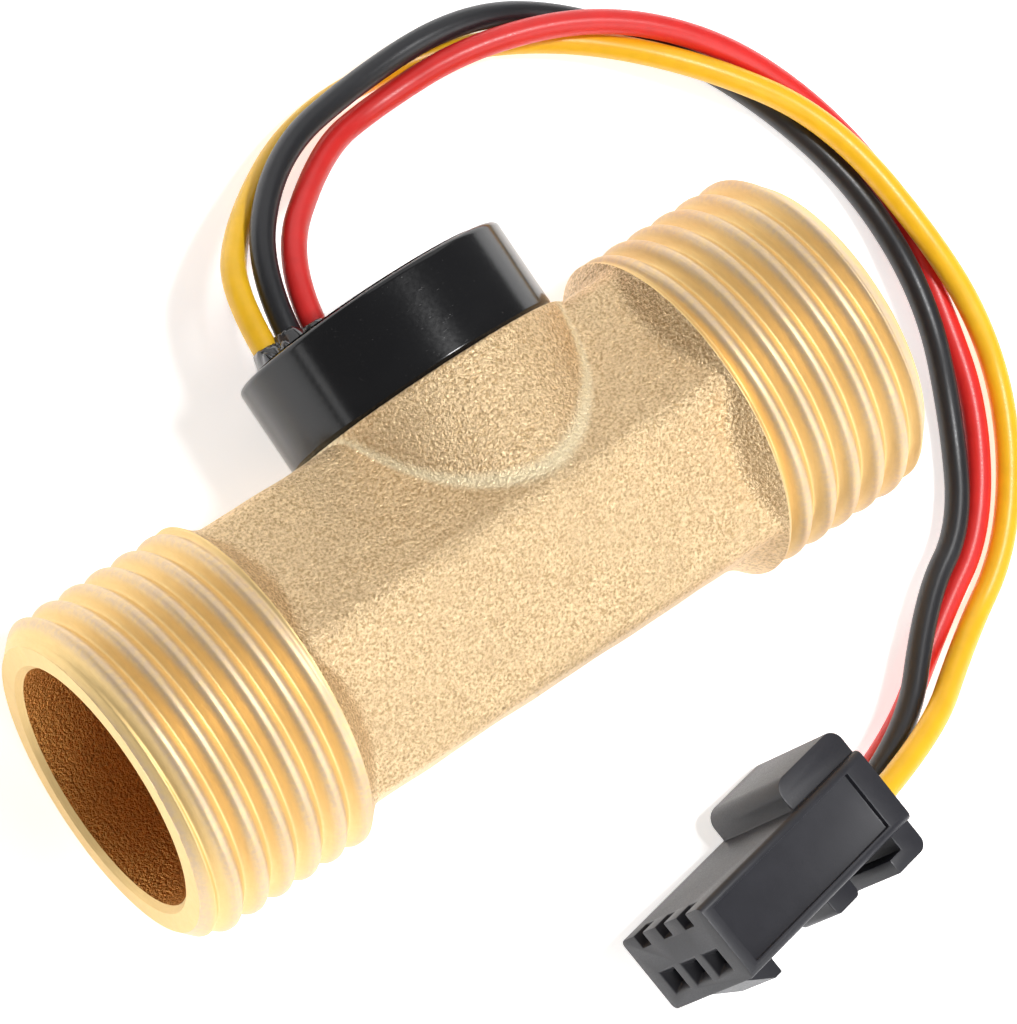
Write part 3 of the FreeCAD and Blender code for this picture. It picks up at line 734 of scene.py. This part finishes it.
class METER_OT_waterway(bpy.types.Operator):
    """Finish the rotor, its bearings and the pieces that hold it in the bore"""
    bl_idname = "flow_meter.waterway"
    bl_label = "Waterway insert"

    def execute(self, context):
        black = plastic_finish("insert_plastic", (0.02, 0.02, 0.022), 0.42, 0.2, 0.006)
        white = plastic_finish("rotor_plastic", (0.72, 0.71, 0.67), 0.38, 0.2, 0.005)
        ceramic = plastic_finish("bush_ceramic", (0.8, 0.78, 0.72), 0.2, 0.1, 0.002)
        steel = metal_finish("shaft_steel", (0.6, 0.6, 0.62), 0.22)
        ferrite = metal_finish("magnet_ferrite", (0.12, 0.12, 0.13), 0.5, 0.06)
        for node in ("inlet_guide", "outlet_carrier"):
            dress(node, black)
        for node in ("inlet_bush", "outlet_bush", "thrust_washer"):
            dress(node, ceramic)
        for node in ("retaining_ring", "rotor_shaft"):
            dress(node, steel)
        dress("impeller", white)
        for number in range(1, 5):
            dress("rotor_magnet_%d" % number, ferrite)
        return {"FINISHED"}


class METER_OT_board(bpy.types.Operator):
    """Finish the circuit board, its parts and the screws under the resin"""
    bl_idname = "flow_meter.board"
    bl_label = "Circuit board"

    def execute(self, context):
        dress("sensor_board", plastic_finish("board_laminate", (0.02, 0.12, 0.05), 0.35, 0.3, 0.01))
        dress("hall_chip", plastic_finish("chip_resin", (0.015, 0.015, 0.016), 0.5, 0.08, 0.004))
        dress("board_resistor", plastic_finish("resistor_glaze", (0.02, 0.02, 0.022), 0.3, 0.08, 0.003))
        dress("board_capacitor", plastic_finish("capacitor_body", (0.3, 0.17, 0.07), 0.4, 0.08, 0.004))
        steel = metal_finish("screw_steel", (0.55, 0.55, 0.57), 0.3)
        for node in ("case_screw_upper", "case_screw_lower"):
            dress(node, steel)
        return {"FINISHED"}


# Wires

class METER_OT_wires(bpy.types.Operator):
    """Run the three wires from the sensor case to the plug"""
    bl_idname = "flow_meter.wires"
    bl_label = "Wires"

    def execute(self, context):
        look = context.scene.flow_meter_wires
        for name, route in ROUTES.items():
            tint = name.split("_")[1]
            line = bpy.data.curves.new("insulation_" + tint, "CURVE")
            line.dimensions = "3D"
            spline = line.splines.new("NURBS")
            spline.points.add(len(route) - 1)
            for point, place in zip(spline.points, route):
                point.co = (*place, 1)
            spline.order_u = 3
            spline.use_endpoint_u = True
            spline.resolution_u = 14
            line.bevel_depth = WIRE_DIAMETER / 2 * MM
            line.bevel_resolution = 8
            line.use_fill_caps = True
            piece = bpy.data.objects.new("insulation_" + tint, line)
            context.scene.collection.objects.link(piece)
            line.materials.append(wire_finish("pvc_" + tint, getattr(look, tint), look.roughness))
            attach(piece, "meter")
            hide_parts(name)
        return {"FINISHED"}


# Plug

def rounded_copy(node, name, width):
    """The node's own solid with its moulded edges rounded."""
    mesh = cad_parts[node].data.copy()
    mesh.name = name
    work = bmesh.new()
    work.from_mesh(mesh)
    bmesh.ops.remove_doubles(work, verts=work.verts, dist=1e-6)
    bmesh.ops.dissolve_limit(work, angle_limit=math.radians(1), verts=work.verts, edges=work.edges)
    sharp = [edge for edge in work.edges if edge.is_manifold and edge.calc_face_angle() > math.radians(35)]
    bmesh.ops.bevel(work, geom=sharp, offset=width * MM, offset_type="OFFSET", segments=2, profile=0.6,
                    affect="EDGES", clamp_overlap=True)
    bmesh.ops.recalc_face_normals(work, faces=work.faces)
    work.to_mesh(mesh)
    work.free()
    mesh.materials.clear()
    thing = bpy.data.objects.new(name, mesh)
    bpy.context.scene.collection.objects.link(thing)
    mesh.shade_smooth()
    mesh.set_sharp_from_angle(angle=math.radians(28))
    return thing


class METER_OT_plug(bpy.types.Operator):
    """Round the plug's moulded edges and finish it and its terminals"""
    bl_idname = "flow_meter.plug"
    bl_label = "Plug"

    def execute(self, context):
        look = context.scene.flow_meter_plug
        housing = rounded_copy("plug_housing", "plug_moulding", look.edge)
        finish(housing, plastic_finish("plug_plastic", look.plug_colour, 0.42, 0.12, 0.008))
        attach(housing, "meter")
        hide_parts("plug_housing")
        tinned = metal_finish("terminal_metal", (0.7, 0.66, 0.58), 0.3)
        for number in (1, 2, 3):
            dress("plug_terminal_%d" % number, tinned)
        return {"FINISHED"}


# Camera and stage

class METER_OT_camera(bpy.types.Operator):
    """Look down on the meter from the photograph's place"""
    bl_idname = "flow_meter.camera"
    bl_label = "Camera"

    def execute(self, context):
        data = bpy.data.cameras.new("camera")
        data.sensor_fit = "HORIZONTAL"
        data.sensor_width = 36
        data.lens = 204.13
        data.clip_start = 0.01
        camera = bpy.data.objects.new("camera", data)
        camera.matrix_world = Matrix((
            (0.784635, 0.505209, -0.359322, -0.11612),
            (-0.524461, 0.849974, 0.049826, 0.01454),
            (0.330587, 0.149355, 0.931881, 0.32005),
            (0, 0, 0, 1)))
        context.scene.collection.objects.link(camera)
        context.scene.camera = camera
        return {"FINISHED"}


def area_light(name, place, towards, width, height, power, tint=(1, 1, 1)):
    data = bpy.data.lights.new(name, "AREA")
    data.shape = "RECTANGLE"
    data.size, data.size_y = width, height
    data.energy = power
    data.color = tint
    light = bpy.data.objects.new(name, data)
    light.location = place
    light.rotation_euler = (Vector(towards) - Vector(place)).to_track_quat("-Z", "Y").to_euler()
    bpy.context.scene.collection.objects.link(light)


class METER_OT_stage(bpy.types.Operator):
    """Lay the white floor and set the soft lights"""
    bl_idname = "flow_meter.stage"
    bl_label = "Floor and lights"

    def execute(self, context):
        look = context.scene.flow_meter_stage
        mesh = bpy.data.meshes.new("floor")
        reach = 3.0
        mesh.from_pydata([(-reach, -reach, -2e-5), (reach, -reach, -2e-5), (reach, reach, -2e-5),
                          (-reach, reach, -2e-5)], [], [(0, 1, 2, 3)])
        floor = bpy.data.objects.new("floor", mesh)
        context.scene.collection.objects.link(floor)
        material, tree, shader, where = new_finish("white_floor")
        cloud = noise(tree, where, 60)
        tree.links.new(mix(tree, stretch_range(tree, cloud, 0.4, 0.6, 0, 0.02), tuple(look.floor_colour), (0.9, 0.9, 0.9)),
                       shader.inputs["Base Color"])
        shader.inputs["Roughness"].default_value = 0.8
        shader.inputs["Emission Color"].default_value = (1, 1, 1, 1)
        shader.inputs["Emission Strength"].default_value = look.glow
        mesh.materials.append(material)
        world = bpy.data.worlds.new("surround")
        world.use_nodes = True
        world.node_tree.nodes["Background"].inputs["Color"].default_value = (1, 1, 1, 1)
        world.node_tree.nodes["Background"].inputs["Strength"].default_value = look.surround
        context.scene.world = world
        area_light("far_panel", (0.3, 0.6, 0.38), (0, 0, 0.01), 0.9, 0.6, look.far)
        area_light("near_panel", (0.12, -0.62, 0.45), (0, 0, 0.01), 0.9, 0.6, look.key)
        area_light("overhead_strip", (0.15, 0, 0.6), (0, 0, 0.01), 0.08, 0.12, look.strip)
        area_light("low_strip", (-0.7, 0.02, 0.1), (0, 0, 0.01), 0.3, 0.07, look.edge)
        context.scene.view_settings.view_transform = "Standard"
        return {"FINISHED"}


# Sidebar

OPERATORS = (METER_OT_camera, METER_OT_wires, METER_OT_brass_body, METER_OT_sensor_case, METER_OT_waterway,
             METER_OT_board, METER_OT_plug, METER_OT_stage)
SCENE_SETTINGS = (("flow_meter_brass", BrassSettings), ("flow_meter_case", CaseSettings),
                  ("flow_meter_wires", WireSettings), ("flow_meter_plug", PlugSettings),
                  ("flow_meter_stage", StageSettings))


class METER_PT_pieces(bpy.types.Panel):
    """Pieces of the flow meter and their settings"""
    bl_idname = "METER_PT_pieces"
    bl_label = "Flow meter"
    bl_space_type = "VIEW_3D"
    bl_region_type = "UI"
    bl_category = "Flow meter"

    def draw(self, context):
        for operator in OPERATORS:
            self.layout.operator(operator.bl_idname)
        for name, group in SCENE_SETTINGS:
            box = self.layout.box()
            for setting in group.__annotations__:
                box.prop(getattr(context.scene, name), setting)


def register():
    for group in SETTINGS + OPERATORS + (METER_PT_pieces,):
        bpy.utils.register_class(group)
    for name, group in SCENE_SETTINGS:
        setattr(bpy.types.Scene, name, bpy.props.PointerProperty(type=group))


def unregister():
    for name, group in SCENE_SETTINGS:
        delattr(bpy.types.Scene, name)
    for group in reversed(SETTINGS + OPERATORS + (METER_PT_pieces,)):
        bpy.utils.unregister_class(group)


def corners(bounds):
    return [list(corner) for corner in bounds]


def main():
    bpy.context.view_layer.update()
    register()
    for operator in OPERATORS:
        group, name = operator.bl_idname.split(".")
        getattr(getattr(bpy.ops, group), name)()


if __name__ == "__main__":
    main()
